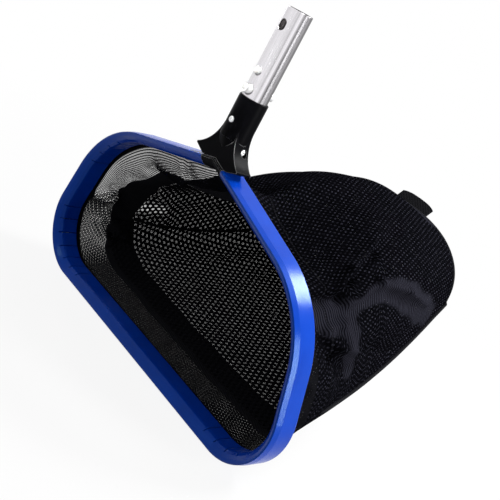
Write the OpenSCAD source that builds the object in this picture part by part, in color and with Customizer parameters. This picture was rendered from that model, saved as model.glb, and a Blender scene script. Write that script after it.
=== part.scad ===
// Leaf skimmer net: a deep bag on a wide hoop, carried by a yoke on a short handle tube.
// The origin lies where the tube's axis crosses its cross hole. +Z runs up the tube to its
// open end, X along the hoop's width, and the mouth of the bag faces -Y.

/* [Handle tube] */
// Outer diameter of the tube, which slides into a telescopic pole
tube_od = 30; // [28:0.5:34]
// Wall of the tube
tube_wall = 1.5; // [1.2:0.1:2]
// Length of tube that stands free above the yoke
tube_free = 102; // [96:1:150]
// Length of tube seated in the yoke
tube_seated = 46.6; // [44:0.2:56]
// Chamfer round the open end
tube_chamfer = 0.6; // [0.2:0.1:1]
// Distance from the open end down to the cross hole
cross_hole_drop = 19.6; // [16:0.2:24]
// Width of the cross hole
cross_hole_w = 9.4; // [6:0.2:12]
// Length of the cross hole along the tube
cross_hole_l = 12.8; // [12.4:0.2:16]

/* [Clip] */
// Width of the spring clip's strip
clip_w = 10; // [8:0.5:11]
// Thickness of the strip
clip_t = 2; // [1.6:0.1:2.4]
// Distance from the tube's axis to each arm's pivot
clip_pivot_y = 8; // [7:0.2:8.6]
// Distance from the cross hole down to the pivots
clip_pivot_drop = 28.6; // [27:0.2:32]
// Distance from the cross hole down to the lock pins
lock_drop = 52.6; // [50:0.2:54]
// Radius of a lock pin
lock_r = 4.2; // [3.6:0.1:4.6]
// Height of a lock pin above the tube
lock_proud = 2.5; // [2:0.1:2.6]
// Distance from the cross hole down to the thumb buttons
thumb_drop = 74.1; // [73:0.2:75]
// Radius of a thumb button
thumb_r = 5.3; // [4.6:0.1:5.6]
// Height of a thumb button above the tube
thumb_proud = 6.4; // [6:0.1:7]

/* [Yoke] */
// Wall of the socket round the tube
socket_wall = 2.1; // [1.8:0.1:4]
// Thickness of the flared web from front to back
web_t = 22; // [20:0.5:28]
// Half the span of the two wings
wing_half = 38.5; // [34:0.5:46]
// Radius of the concave flare from socket to wing
flare_r = 46; // [40:0.5:54]
// Thickness of a wing at its tip
wing_tip_t = 3; // [2:0.2:4]
// Height of the wing tips' underside above the hoop's apex
wing_lift = -1.6; // [-3:0.2:1]
// Angle at which the underside of a wing rises outwards
wing_under_angle = 21; // [12:1:26]
// Half the length of the saddle that closes the hoop
saddle_half = 20; // [18:0.5:28]

/* [Hoop] */
// Overall width of the hoop
hoop_width = 479; // [440:1:540]
// Overall height of the hoop, from leading edge to apex
hoop_height = 260; // [250:1:290]
// Distance from the cross hole down to the hoop's apex
hoop_drop = 155; // [154:0.5:156]
// Backward tilt of the hoop against the handle
hoop_tilt = 5; // [0:0.5:8]
// Inward lean of the sides
side_lean = 15; // [10:0.5:18]
// Fall of the roof to either side of the apex
roof_slope = 15.7; // [12:0.1:17]
// Outer radius of the corners beside the leading edge
base_radius = 68; // [50:1:80]
// Outer radius of the shoulders
shoulder_radius = 123; // [100:1:135]
// Depth of the rim from front to back
rim_depth = 30; // [29:0.5:36]
// Thickness of the rim from outside to inside
rim_t = 13; // [12.6:0.1:15]
// Wall of the rim's two skirts
skirt_t = 2.4; // [2:0.1:2.6]
// Number of relief slits in each corner of the rim
slit_count = 7; // [3:1:9]
// Distance from slit to slit along the inner edge
slit_pitch = 18.5; // [10:0.5:20]
// Width of a relief slit
slit_w = 0.9; // [0.6:0.1:1.2]
// Thickness of the flat bar inside the rim
core_t = 2.4; // [2:0.1:2.6]
// Width of the flat bar
core_w = 14; // [12:0.5:16]
// Diameter of the bead in the bag's hem
bead_d = 4.5; // [4:0.1:4.8]

/* [Fasteners] */
// Distance from the cross hole down to the bolt through socket and tube
bolt_drop = 110.8; // [107:0.2:113]
// Radius of the bolt's shank
bolt_r = 2.5; // [2:0.1:3]
// Radius of the bolt's head
bolt_head_r = 3.4; // [3.2:0.1:4]
// Height of the bolt's head
bolt_head_h = 2; // [1.6:0.1:2.6]
// Width of the nut across its flats
nut_flats = 8; // [7:0.2:9]
// Height of the nut
nut_h = 3.2; // [2.6:0.1:4]
// Height of the side screws above the hoop's apex
side_screw_lift = 16.7; // [16:0.1:18]
// Radius of a side screw's shank
side_screw_r = 2; // [1.6:0.1:2.2]
// Radius of a side screw's head
side_head_r = 3.5; // [3:0.1:3.8]
// Height of a side screw's head
side_head_h = 2; // [1.6:0.1:2.2]

/* [Bag] */
// Depth of the bag behind the front of the rim
bag_depth = 370; // [340:1:420]
// Half the width of the bag's rear edge
rear_half = 122; // [100:1:140]
// Height of the rear corners above the leading edge
rear_low = 160; // [140:1:180]
// Height of the middle of the rear edge above the leading edge
rear_high = 242; // [226:1:250]
// Rise of the ridge's arch above the straight line from hoop to rear edge
ridge_rise = 24; // [10:1:30]
// How far the slack roof hangs down behind the rim
roof_slack = 43; // [20:1:46]
// Height of the seam above the leading edge where it leaves the hoop
seam_height = 68; // [60:1:80]
// Rise of the bag's floor before its end rounds up
floor_rise = 100; // [80:1:120]
// Thickness of one layer of bag fabric, with its weave
cloth_t = 1.2; // [0.8:0.1:1.3]
// Distance from the front of the rim to the cuff's rear edge
cuff_end = 70; // [60:1:90]
// Width of the tape that joins cuff and bag
tape_w = 35; // [25:1:45]
// Diameter of the bound edge along the seam
binding_d = 4; // [3:0.2:5]
// Width of the pull tab
tab_w = 58; // [40:1:70]
// Length of the pull tab
tab_l = 18; // [14:1:24]
// Thickness of the folded pull tab
tab_t = 3; // [2:0.2:4]
// Angle of the pull tab above the bag's line
tab_angle = 45; // [30:1:60]

/* [Hidden] */
$fn = 96;

// clearances
fit_gap = 0.1;
soft_gap = 0.3;
joint_lap = 0.5;
joint_trim = 0.03;
$trim = 0;
clip_gap = 0.3;
far = 1000;

// tube and clip
tube_r = tube_od / 2;
tube_bore_r = tube_r - tube_wall;
tube_top = cross_hole_drop;
socket_top = tube_top - tube_free;
tube_bottom = socket_top - tube_seated;
lock_hole_r = lock_r + 0.8;
lock_hole_lower = 0.6;
thumb_hole_r = thumb_r + 0.9;
thumb_hole_lower = 0.6;
arm_out_y = sqrt(pow(tube_bore_r, 2) - pow(clip_w / 2, 2)) - clip_gap;
arm_mid_y = arm_out_y - clip_t / 2;
arm_kink_run = 13;
arm_kink_drop = clip_pivot_drop + arm_kink_run;
arm_end_drop = thumb_drop + thumb_r + 1;
clip_bend_rise = 5;

// yoke
socket_r = tube_r + socket_wall;
wing_tip_z = wing_lift - hoop_drop;
web_root_half = sqrt(pow(socket_r, 2) - pow(web_t / 2, 2));
flare_sweep = acos(1 - (wing_half - wing_tip_t / 2 - web_root_half) / flare_r);
flare_top_z = wing_tip_z + wing_tip_t + flare_r * sin(flare_sweep);
socket_end_z = tube_bottom - 1;
socket_chamfer = 0.8;
socket_taper = 12;
seat_y = tube_r + socket_wall / 2;
spot_r = nut_flats / 2 / cos(30) + 0.4;
core_depth = 10.6;
core_in = 2.6;
groove_in = core_in + core_t + 0.4;
groove_depth = 21;
core_end_x = 10.6;
core_end_rise = 24;
core_turn_x = core_end_x + 0.85 * core_t;
core_foot_rise = 0.25;
wing_gap = 0.2;
edge_chamfer = [0.9, 1.2];
channel_outer_depth = 9;
channel_inner_depth = 13;
side_screw_y = core_depth + core_w / 2 - rim_depth / 2 + side_screw_lift * tan(hoop_tilt);
side_screw_z = side_screw_lift - hoop_drop;
flank_angle = asin((flare_top_z - side_screw_z) / flare_r);
side_recess = 1.5;
side_seat_x = web_root_half + flare_r * (1 - cos(flank_angle)) - side_recess - side_head_h;
side_screw_l = side_seat_x - 5;

// hoop outline, seen from the front: x along the width, z up from the leading edge
base_x = hoop_width / 2 - base_radius;
side_k = cos(side_lean) * base_x + sin(side_lean) * base_radius + base_radius - shoulder_radius;
roof_k = cos(roof_slope) * hoop_height - shoulder_radius;
outline_det = cos(side_lean + roof_slope);
shoulder_x = (side_k * cos(roof_slope) - roof_k * sin(side_lean)) / outline_det;
shoulder_z = (roof_k * cos(side_lean) - side_k * sin(roof_slope)) / outline_det;
base_sweep = 90 + side_lean;
shoulder_sweep = 90 - roof_slope - side_lean;
side_run = (base_x - shoulder_x) * sin(side_lean) + (shoulder_z - base_radius) * cos(side_lean);
roof_start_x = shoulder_x + shoulder_radius * sin(roof_slope);

// relief slits
slit_in = 11;
slit_inner = 3.6;
slit_outer = 3.2;
slit_solid = 5;
base_slit_angle = -53;
shoulder_slit_angle = 52;

// bag
bead_in = 8;
bead_depth = 24;
cuff_start = bead_depth + bead_d / 2 + 0.05;
tape_end = cuff_end + tape_w;
rear_power = 2.4;
slack_from = 34;
slack_worst = 85;
cuff_rows = 8;
tape_rows = 5;
slack_power = 0.9;
slack_fade = 5;
slack_corner = 0.1;
slack_shoulder = 0.32;
ridge_keeps = 0.5;
ridge_band = 0.075;
ridge_skew = 1.5;
mouth_top = hoop_height - bead_in / cos(roof_slope);
net_in = cloth_t + 0.4;
net_end_in = net_in + cloth_t / 2 + 0.7;
panel_end_in = net_end_in + 0.4;
stack_in = (net_in + cloth_t + 0.4) / 2 + 0.8;
flat_share = level_share(0.5, 1, 16);
end_share = 0.9982;
seam_t = 0.02;
half_steps = 20;

// ---------------------------------------------------------------- outline of the hoop

function normal_dir(a) = [cos(a), sin(a)];
function along_dir(a) = [-sin(a), cos(a)];

// The same facing angle on the right (side 1) or the left (side -1)
function angle_to_side(angle, side) = side > 0 ? angle : 180 - angle;

// Lengths of the outline's five runs, moved inwards by d, from the leading edge's middle
function run_lengths(d) = [
  base_x,
  (base_radius - d) * base_sweep * PI / 180,
  side_run,
  (shoulder_radius - d) * shoulder_sweep * PI / 180,
  roof_start_x / cos(roof_slope) - d * tan(roof_slope)];

// Point and outward normal angle at the distance s along the outline moved inwards by d
function outline_at(s, d) =
  let (
    runs = run_lengths(d),
    s1 = s - runs[0],
    s2 = s1 - runs[1],
    s3 = s2 - runs[2],
    s4 = s3 - runs[3],
    base_c = [base_x, base_radius],
    shoulder_c = [shoulder_x, shoulder_z],
    base_a = -90 + s1 / (base_radius - d) * 180 / PI,
    shoulder_a = side_lean + s3 / (shoulder_radius - d) * 180 / PI,
    roof_a = 90 - roof_slope)
  s1 < 0 ? [[s, d], -90]
  : s2 < 0 ? [base_c + (base_radius - d) * normal_dir(base_a), base_a]
  : s3 < 0 ? [base_c + (base_radius - d) * normal_dir(side_lean) + s2 * along_dir(side_lean), side_lean]
  : s4 < 0 ? [shoulder_c + (shoulder_radius - d) * normal_dir(shoulder_a), shoulder_a]
  : [shoulder_c + (shoulder_radius - d) * normal_dir(roof_a) + s4 * along_dir(roof_a), roof_a];

// Distance along the outline to the point of a corner arc that faces a given angle
function base_arc_s(angle, d) = base_x + (base_radius - d) * (angle + 90) * PI / 180;
function shoulder_arc_s(angle, d) =
  let (runs = run_lengths(d))
  runs[0] + runs[1] + runs[2] + (shoulder_radius - d) * (angle - side_lean) * PI / 180;

// Distance along the outline to the height at which the bag's seam starts
function seam_s(d) = base_arc_s(asin((seam_height - base_radius) / (base_radius - d)), d);
function outline_end(d) = let (r = run_lengths(d)) r[0] + r[1] + r[2] + r[3] + r[4];

// ---------------------------------------------------------------- sweeps round the hoop

// Puts what is drawn in the hoop's own upright frame where the yoke holds the hoop
module on_hoop() {
  translate([0, 0, -hoop_drop])
    rotate([hoop_tilt, 0, 0])
      translate([0, -rim_depth / 2, -hoop_height])
        children();
}

// Carries a profile, drawn as (distance inwards, depth), straight on along +Y
module straight_run(length) {
  translate([0, length, 0])
    rotate([90, 0, 0])
      linear_extrude(length)
        rotate(180)
          children();
}

// A straight run, a hair slimmer, whose ends lie inside the arcs that it joins
module lapped_run(length) {
  $trim = joint_trim;
  translate([0, -joint_lap, 0])
    straight_run(length + 2 * joint_lap)
      children();
}

// Carries a profile round the origin from angle 0
module arc_run(radius, sweep) {
  rotate_extrude(angle = sweep)
    translate([radius, 0])
      rotate(180)
        children();
}

// The right half of the hoop behind its leading edge, up to the distance end_x from the middle plane
module half_hoop(end_x) {
  translate([base_x, base_radius])
    rotate(-90) {
      arc_run(base_radius, base_sweep)
        children();
      rotate(base_sweep) {
        translate([base_radius, 0])
          lapped_run(side_run)
            children();
        translate([base_radius - shoulder_radius, side_run]) {
          arc_run(shoulder_radius, shoulder_sweep)
            children();
          rotate(shoulder_sweep)
            translate([shoulder_radius, 0])
              lapped_run((roof_start_x - end_x) / cos(roof_slope) - joint_lap)
                children();
        }
      }
    }
}

module leading_run() {
  translate([-base_x, 0])
    rotate(-90)
      lapped_run(2 * base_x)
        children();
}

module both_halves() {
  children();
  mirror([1, 0, 0])
    children();
}

// The hoop from one end of its roof, down, along the leading edge and up to the other end
module whole_hoop(end_x) {
  leading_run()
    children();
  both_halves()
    half_hoop(end_x)
      children();
}

// The stretch of roof from the distance from_x on one side to the distance to_x from the middle plane
module roof_run(from_x, to_x, side) {
  start_x = side > 0 ? from_x : to_x;
  translate([side * start_x, hoop_height - start_x * tan(roof_slope)])
    rotate(angle_to_side(90 - roof_slope, side))
      straight_run((from_x - to_x) / cos(roof_slope))
        children();
}

// Stretch of roof that meets its mirror image in the middle plane
module roof_to_middle(from_x, side) {
  intersection() {
    roof_run(from_x, -rim_t, side)
      children();
    one_side(side);
  }
}

module one_side(side) {
  translate([side > 0 ? 0 : -far, -far / 2, -far / 2])
    cube([far, far, far]);
}

// Turns the flat drawing plane upright: its depth, drawn downwards, becomes +Y
module upright() {
  rotate([90, 0, 0])
    children();
}

// ---------------------------------------------------------------- rim, core and bead

// Outside of the rim: a flat outer wall, a slim front edge and a long bevel to the inner wall
function rim_outside() = [
  [$trim, 8], [1.1 + $trim, 0.8 + $trim], [2.6, $trim], [rim_t - 7, 1.6 + $trim],
  [rim_t - 3 - $trim, 5.2 + $trim], [rim_t - 0.6 - $trim, 8.6 + $trim],
  [rim_t - $trim, 11.5 + $trim], [rim_t - $trim, rim_depth - $trim]];

// The chamfered rear corner of the outer wall
function rear_corner() = [
  [edge_chamfer[0], rim_depth - $trim], [$trim, rim_depth - edge_chamfer[1]]];

module rim_profile() {
  channel = [
    [rim_t - skirt_t + $trim, rim_depth - $trim], [rim_t - skirt_t + $trim, channel_inner_depth - $trim],
    [skirt_t - $trim, channel_outer_depth - $trim], [skirt_t - $trim, rim_depth - $trim]];
  polygon(concat(rim_outside(), channel, rear_corner()));
}

module core_profile(gap) {
  grow = gap - $trim;
  translate([core_in - grow, core_depth - grow])
    square([core_t + 2 * grow, core_w + 2 * grow]);
}

module slit(s, side) {
  at = outline_at(s, slit_in);
  translate([side * at[0][0], at[0][1], -rim_depth - 1])
    rotate(angle_to_side(at[1], side))
      translate([-slit_inner, -slit_w / 2, 0])
        cube([slit_inner + slit_outer, slit_w, rim_depth + 1 - slit_solid]);
}

module slits() {
  first = -(slit_count - 1) / 2;
  middles = [
    base_arc_s(base_slit_angle, slit_in),
    shoulder_arc_s(shoulder_slit_angle, slit_in)];
  for (side = [1, -1])
    for (middle = middles)
      for (i = [0 : slit_count - 1])
        slit(middle + (first + i) * slit_pitch, side);
}

module rim() {
  color("royalblue")
    on_hoop()
      upright()
        difference() {
          whole_hoop(saddle_half)
            rim_profile();
          slits();
        }
}

// The end of the flat bar, turned up into the yoke
module core_end(gap, side) {
  under_x = core_end_x + core_t;
  low_z = hoop_height - (core_in + core_t) / cos(roof_slope) - under_x * tan(roof_slope) + core_foot_rise;
  middle_x = side * (core_end_x + core_t / 2);
  grow = gap - joint_trim;
  translate([middle_x - core_t / 2 - gap, core_depth - grow, low_z])
    cube([core_t + 2 * gap, core_w + 2 * grow, core_end_rise + hoop_height - low_z + gap]);
}

module core_near_yoke(gap) {
  for (side = [1, -1]) {
    upright()
      roof_run(saddle_half + 1, core_turn_x, side)
        core_profile(gap);
    core_end(gap, side);
  }
}

module hoop_core() {
  color("gainsboro")
    difference() {
      on_hoop() {
        upright()
          whole_hoop(core_turn_x)
            core_profile(0);
        for (side = [1, -1])
          core_end(0, side);
      }
      side_screw_holes(side_screw_r + fit_gap);
    }
}

module mouth_bead() {
  color("black")
    on_hoop()
      upright() {
        leading_run()
          bead_profile();
        both_halves()
          intersection() {
            half_hoop(-bead_d)
              bead_profile();
            one_side(1);
          }
      }
}

module bead_profile() {
  translate([bead_in, bead_depth])
    circle(d = bead_d - 2 * $trim, $fn = 12);
}

// ---------------------------------------------------------------- yoke and fasteners

// Front view of the web with one wing
module wing_outline() {
  difference() {
    translate([0, wing_tip_z - wing_half])
      square([wing_half - wing_tip_t / 2, flare_top_z - wing_tip_z + wing_half]);
    translate([web_root_half + flare_r, flare_top_z])
      circle(flare_r);
    translate([wing_half - wing_tip_t / 2, wing_tip_z])
      rotate(180 + wing_under_angle)
        translate([-far / 2, 0])
          square(far);
  }
  translate([wing_half - wing_tip_t / 2, wing_tip_z + wing_tip_t / 2])
    circle(wing_tip_t / 2, $fn = 32);
}

module web() {
  rotate([90, 0, 0])
    translate([0, 0, -web_t / 2])
      linear_extrude(web_t) {
        wing_outline();
        mirror([1, 0])
          wing_outline();
      }
}

module socket_outside() {
  rotate_extrude()
    polygon([
      [0, socket_top], [socket_r - socket_chamfer, socket_top], [socket_r, socket_top - socket_chamfer],
      [socket_r, socket_end_z], [web_t / 2, socket_end_z - socket_taper], [0, socket_end_z - socket_taper]]);
}

module saddle() {
  on_hoop()
    upright()
      for (side = [1, -1])
        roof_to_middle(saddle_half, side)
          polygon(concat(rim_outside(), rear_corner()));
}

module bolt_hole(radius) {
  translate([0, far / 2, -bolt_drop])
    rotate([90, 0, 0])
      cylinder(r = radius, h = far);
}

// Stands what is drawn upright on the seat of a side screw, its z pointing outwards
module on_side_seat(side) {
  translate([side * side_seat_x, side_screw_y, side_screw_z])
    rotate([0, side * 90, 0])
      children();
}

module side_screw_holes(radius) {
  for (side = [1, -1])
    on_side_seat(side)
      translate([0, 0, -side_screw_l])
        cylinder(r = radius, h = far);
}

module yoke() {
  color("dimgray")
    difference() {
      union() {
        socket_outside();
        web();
        saddle();
      }
      translate([0, 0, tube_bottom])
        cylinder(r = tube_r + fit_gap, h = far);
      bolt_hole(bolt_r + fit_gap);
      for (side = [0, 180])
        rotate(side)
          translate([0, -seat_y, -bolt_drop])
            rotate([90, 0, 0])
              cylinder(r = spot_r, h = socket_r);
      on_hoop()
        core_near_yoke(fit_gap);
      side_screw_holes(side_screw_r + fit_gap);
      for (side = [1, -1])
        on_side_seat(side)
          cylinder(r = side_head_r + 0.6, h = far);
      below_saddle();
      beside_saddle();
      bead_groove();
    }
}

// Clears the room of the rim's two ends, so that the wings pass just above them
module beside_saddle() {
  on_hoop()
    upright()
      for (side = [1, -1])
        roof_run(wing_half + rim_t, saddle_half - fit_gap / 2, side)
          translate([-wing_gap, -rim_depth])
            square([3 * rim_t, 3 * rim_depth]);
}

// The groove that carries the bead on through the saddle, open to the rear
module bead_groove() {
  on_hoop()
    upright()
      for (side = [1, -1])
        roof_to_middle(saddle_half + 1, side)
          translate([groove_in, groove_depth])
            square([rim_t - skirt_t - groove_in, 2 * rim_depth]);
}

// Clears the web away inside the hoop, behind and below the saddle's bevel
module below_saddle() {
  bevel = [for (i = [2 : len(rim_outside()) - 1]) rim_outside()[i]];
  reach = 3 * rim_depth;
  on_hoop()
    upright()
      for (side = [1, -1])
        roof_to_middle(wing_half, side)
          polygon(concat([[reach, -reach], [bevel[0][0], -reach]], bevel, [[rim_t, reach], [reach, reach]]));
}

// A pan head with a cross recess, its seat at z = 0
module pan_head(radius, height) {
  slot_w = radius * 0.28;
  slot_l = radius * 1.2;
  slot_depth = height * 0.55;
  difference() {
    rotate_extrude()
      polygon([
        [0, 0], [radius, 0], [radius, height * 0.55], [radius * 0.86, height * 0.85],
        [radius * 0.6, height], [0, height]]);
    for (turn = [0, 90])
      rotate(turn)
        translate([-slot_l / 2, -slot_w / 2, height - slot_depth])
          cube([slot_l, slot_w, height]);
  }
}

module tube_bolt() {
  color("silver")
    translate([0, -seat_y, -bolt_drop])
      rotate([90, 0, 0]) {
        pan_head(bolt_head_r, bolt_head_h);
        translate([0, 0, -2 * seat_y - nut_h - 1])
          cylinder(r = bolt_r, h = 2 * seat_y + nut_h + 1);
      }
}

module tube_nut() {
  color("silver")
    translate([0, seat_y + nut_h, -bolt_drop])
      rotate([90, 0, 0])
        difference() {
          cylinder(r = nut_flats / 2 / cos(30), h = nut_h, $fn = 6);
          translate([0, 0, -1])
            cylinder(r = bolt_r + fit_gap, h = nut_h + 2, $fn = 48);
        }
}

module side_screws() {
  color("silver")
    for (side = [1, -1])
      on_side_seat(side) {
        pan_head(side_head_r, side_head_h);
        translate([0, 0, -side_screw_l])
          cylinder(r = side_screw_r, h = side_screw_l);
      }
}

// ---------------------------------------------------------------- handle tube and clip

module cross_slot() {
  reach = (cross_hole_l - cross_hole_w) / 2;
  rotate([90, 0, 0])
    translate([0, 0, -tube_od]) {
      for (end = [-reach, reach])
        translate([0, end, 0])
          cylinder(d = cross_hole_w, h = 2 * tube_od);
      translate([-cross_hole_w / 2, -reach, 0])
        cube([cross_hole_w, 2 * reach, 2 * tube_od]);
    }
}

module through_tube(radius, drop) {
  translate([0, tube_od, -drop])
    rotate([90, 0, 0])
      cylinder(r = radius, h = 2 * tube_od);
}

module handle_tube() {
  color("lightgray")
    difference() {
      rotate_extrude()
        polygon([
          [tube_bore_r, tube_bottom], [tube_r, tube_bottom], [tube_r, tube_top - tube_chamfer],
          [tube_r - tube_chamfer, tube_top], [tube_bore_r, tube_top]]);
      cross_slot();
      through_tube(lock_hole_r, lock_drop + lock_hole_lower);
      through_tube(thumb_hole_r, thumb_drop + thumb_hole_lower);
      bolt_hole(bolt_r + fit_gap);
    }
}

// Side view of a strip between two points, as (distance forwards, drop)
module strip_side(from, to) {
  run = to - from;
  translate(from)
    rotate(atan2(run[1], run[0]))
      translate([0, -clip_t / 2])
        square([norm(run), clip_t]);
}

// Stands a side view up across the tube, its first axis pointing to -Y
module across_tube(width) {
  rotate([90, 0, -90])
    translate([0, 0, -width / 2])
      linear_extrude(width)
        children();
}

module clip_bend() {
  bend_z = clip_bend_rise - clip_pivot_drop;
  color("white")
    across_tube(clip_w)
      difference() {
        union() {
          intersection() {
            translate([0, bend_z])
              difference() {
                circle(clip_pivot_y + clip_t / 2);
                circle(clip_pivot_y - clip_t / 2);
              }
            translate([-far / 2, bend_z])
              square(far);
          }
          for (side = [-1, 1])
            translate([side * clip_pivot_y - clip_t / 2, -clip_pivot_drop])
              square([clip_t, clip_bend_rise]);
        }
        for (side = [-1, 1])
          translate([side * clip_pivot_y, -clip_pivot_drop])
            circle(clip_t / 2 + clip_gap, $fn = 48);
      }
}

// One arm of the clip, drawn for the front; its top end turns in the bend's rounded seat
module clip_arm() {
  pivot = [clip_pivot_y, -clip_pivot_drop];
  kink = [arm_mid_y, -arm_kink_drop];
  tip = [arm_mid_y, -arm_end_drop];
  color("white") {
    across_tube(clip_w) {
      strip_side(pivot, kink);
      strip_side(kink, tip);
      for (round_end = [pivot, kink, tip])
        translate(round_end)
          circle(clip_t / 2, $fn = 48);
    }
    stud(lock_r, lock_drop, lock_proud);
    stud(thumb_r, thumb_drop, thumb_proud);
  }
}

// A round stud with a chamfered end, standing out through the tube's front wall
module stud(radius, drop, proud) {
  height = tube_r + proud - arm_mid_y;
  chamfer = min(0.8, radius / 4);
  translate([0, -arm_mid_y, -drop])
    rotate([90, 0, 0])
      rotate_extrude()
        polygon([[0, 0], [radius, 0], [radius, height - chamfer], [radius - chamfer, height], [0, height]]);
}

module front_clip_arm() {
  clip_arm();
}

module rear_clip_arm() {
  rotate(180)
    clip_arm();
}

// ---------------------------------------------------------------- bag

// Share of the bag's depth at the depth y
function depth_share(y) = (y - cuff_start) / (bag_depth - cuff_start);

function blend(a, b, share) = a + (b - a) * share;

// Heights along the bag's middle: ridge, seam and floor
function ridge_z(v) = blend(mouth_top, rear_high, v) + ridge_rise * sin(180 * pow(v, ridge_skew));
function seam_z(v) = blend(seam_height, rear_low, pow(v, 3));
function floor_z(v) =
  bead_in + floor_rise * pow(v, 1.4) + (rear_high - bead_in - floor_rise) * pow(v, 20);

// How far the slack roof hangs: it drops quickly behind the rim and recovers slowly. From seam to
// ridge it grows round the shoulder, stays level and shrinks beside the ridge.
function roof_sag(t, v) =
  let (
    q = max(0, (blend(cuff_start, bag_depth, v) - slack_from) / (slack_worst - slack_from)),
    corner = min(1, max(0, (t - slack_corner) / slack_shoulder)),
    level = corner * corner * (3 - 2 * corner),
    beside = 1 - ridge_keeps * exp(-pow((1 - t) / ridge_band, 2)))
  roof_slack * level * beside * pow(q * exp(1 - q), slack_power) * (1 - pow(v, slack_fade));

// Mouth point of the upper or the lower half, t from the seam to the middle plane
function mouth_point(upper, t) =
  let (
    start = seam_s(bead_in),
    end = upper ? outline_end(bead_in) : 0)
  outline_at(blend(start, end, t), bead_in)[0];

// Rear edge's rounded arch, t from the corner to the middle, as shares of its size
function rear_share(t) = [pow(cos(90 * t), 2 / rear_power), pow(sin(90 * t), 2 / rear_power)];

// Depth share between two others at which the floor is level with the seam
function level_share(low, high, rounds) =
  let (middle = (low + high) / 2)
  rounds == 0 ? high
  : floor_z(middle) < seam_z(middle) ? level_share(middle, high, rounds - 1)
  : level_share(low, middle, rounds - 1);

// Point of the bag's surface, moved inwards by inset: t from seam to middle, v the share of depth.
// Past the level row the lower half closes the end, so there its layers lie one above the other
// and keep end_in from the sides.
function bag_point(upper, t, v, inset, end_in, side) =
  let (
    mouth = mouth_point(upper, t),
    mouth_mid = upper ? mouth_top : bead_in,
    mouth_share = (mouth[1] - seam_height) / (mouth_mid - seam_height),
    share = blend(mouth_share, rear_share(t)[1], v),
    x = blend(mouth[0], rear_half * rear_share(t)[0], v),
    width = blend(mouth_point(upper, 0)[0], rear_half, v),
    closing = !upper && v >= flat_share,
    side_in = closing ? end_in : inset,
    middle = upper ? ridge_z(v) : floor_z(v),
    up = (upper ? -inset : inset) * (closing ? 1 : share),
    z = seam_z(v) + (middle - seam_z(v)) * share + up - (upper ? roof_sag(t, v) : 0))
  [side * x * (width - side_in) / width, blend(cuff_start, bag_depth, v), z];

// A row of points from the right seam over the middle to the left seam
function bag_row(upper, v, inset, end_in, steps) = [
  for (i = [0 : 2 * steps])
    let (
      side = i < steps ? 1 : -1,
      t = blend(seam_t, 1, 1 - abs(i - steps) / steps))
    bag_point(upper, t, v, inset, end_in, side)];

// A closed row of points right round the bag, starting at the right seam
function bag_ring(v, inset, steps) = concat(
  [for (i = [0 : 2 * steps - 1])
    bag_point(true, 1 - abs(i - steps) / steps, v, inset, 0, i < steps ? 1 : -1)],
  [for (i = [0 : 2 * steps - 1])
    bag_point(false, 1 - abs(i - steps) / steps, v, inset, 0, i < steps ? -1 : 1)]);

// Two triangles between four corners, given in order
function quad(a, b, c, d) = [[a, b, c], [a, c, d]];
function flat(lists) = [for (list = lists) each list];

// Triangles of a grid of rows, joined into a loop or left open
function grid_faces(rows, cols, first, loop, turned) = flat([
  for (r = [0 : rows - 2])
    for (c = [0 : cols - (loop ? 1 : 2)])
      let (
        next = (c + 1) % cols,
        a = first + r * cols + c,
        b = first + r * cols + next,
        d = first + (r + 1) * cols + c,
        e = first + (r + 1) * cols + next)
      turned ? quad(a, d, e, b) : quad(a, b, e, d)]);

// Triangles between the outer and the inner grid along one row
function row_edge(row, cols, inner, loop, turned) = flat([
  for (c = [0 : cols - (loop ? 1 : 2)])
    let (
      next = (c + 1) % cols,
      a = row * cols + c,
      b = row * cols + next)
    turned ? quad(a, a + inner, b + inner, b) : quad(a, b, b + inner, a + inner)]);

// Triangles between the outer and the inner grid along one column
function column_edge(rows, cols, column, inner, turned) = flat([
  for (r = [0 : rows - 2])
    let (
      a = r * cols + column,
      b = a + cols)
    turned ? quad(a, a + inner, b + inner, b) : quad(a, b, b + inner, a + inner)]);

// A thin shell between an outer and an inner list of rows
module shell(outer, inner, loop, turned) {
  rows = len(outer);
  cols = len(outer[0]);
  count = rows * cols;
  edges = loop ? [] : concat(
    column_edge(rows, cols, 0, count, turned),
    column_edge(rows, cols, cols - 1, count, !turned));
  polyhedron(
    points = concat(flat(outer), flat(inner)),
    faces = concat(
      grid_faces(rows, cols, 0, loop, turned),
      grid_faces(rows, cols, count, loop, !turned),
      row_edge(0, cols, count, loop, !turned),
      row_edge(rows - 1, cols, count, loop, turned),
      edges));
}

module bag_band(from_y, to_y, rows, inset, thickness) {
  steps = half_steps;
  shares = [for (r = [0 : rows - 1]) depth_share(blend(from_y, to_y, r / (rows - 1)))];
  on_hoop()
    shell(
      [for (v = shares) bag_ring(v, inset, steps)],
      [for (v = shares) bag_ring(v, inset + thickness, steps)],
      true, true);
}

// One panel from the tape to the rear edge; its rows crowd together towards the level row
module bag_panel(upper, inset, end_in) {
  side_rows = 10;
  end_rows = 3;
  start = depth_share(tape_end + soft_gap);
  end = upper ? 1 : end_share;
  shares = concat(
    [for (r = [side_rows : -1 : 1]) blend(flat_share, start, pow(r / side_rows, 2))],
    [for (r = [0 : end_rows]) blend(flat_share, end, r / end_rows)]);
  on_hoop()
    shell(
      [for (v = shares) bag_row(upper, v, inset, end_in, half_steps)],
      [for (v = shares) bag_row(upper, v, inset + cloth_t, end_in, half_steps)],
      false, upper);
}

module cuff() {
  color("darkslategray")
    bag_band(cuff_start, cuff_end, cuff_rows, -cloth_t / 2, cloth_t);
}

module seam_tape() {
  color("black")
    bag_band(cuff_end + soft_gap, tape_end, tape_rows, -cloth_t / 2, cloth_t * 1.5);
}

module top_panel() {
  color("darkslategray")
    bag_panel(true, -cloth_t / 2, 0);
}

module bottom_panel() {
  color("darkslategray")
    bag_panel(false, -cloth_t / 2, panel_end_in);
}

module inner_net_top() {
  color("black")
    bag_panel(true, net_in - cloth_t / 2, 0);
}

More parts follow.
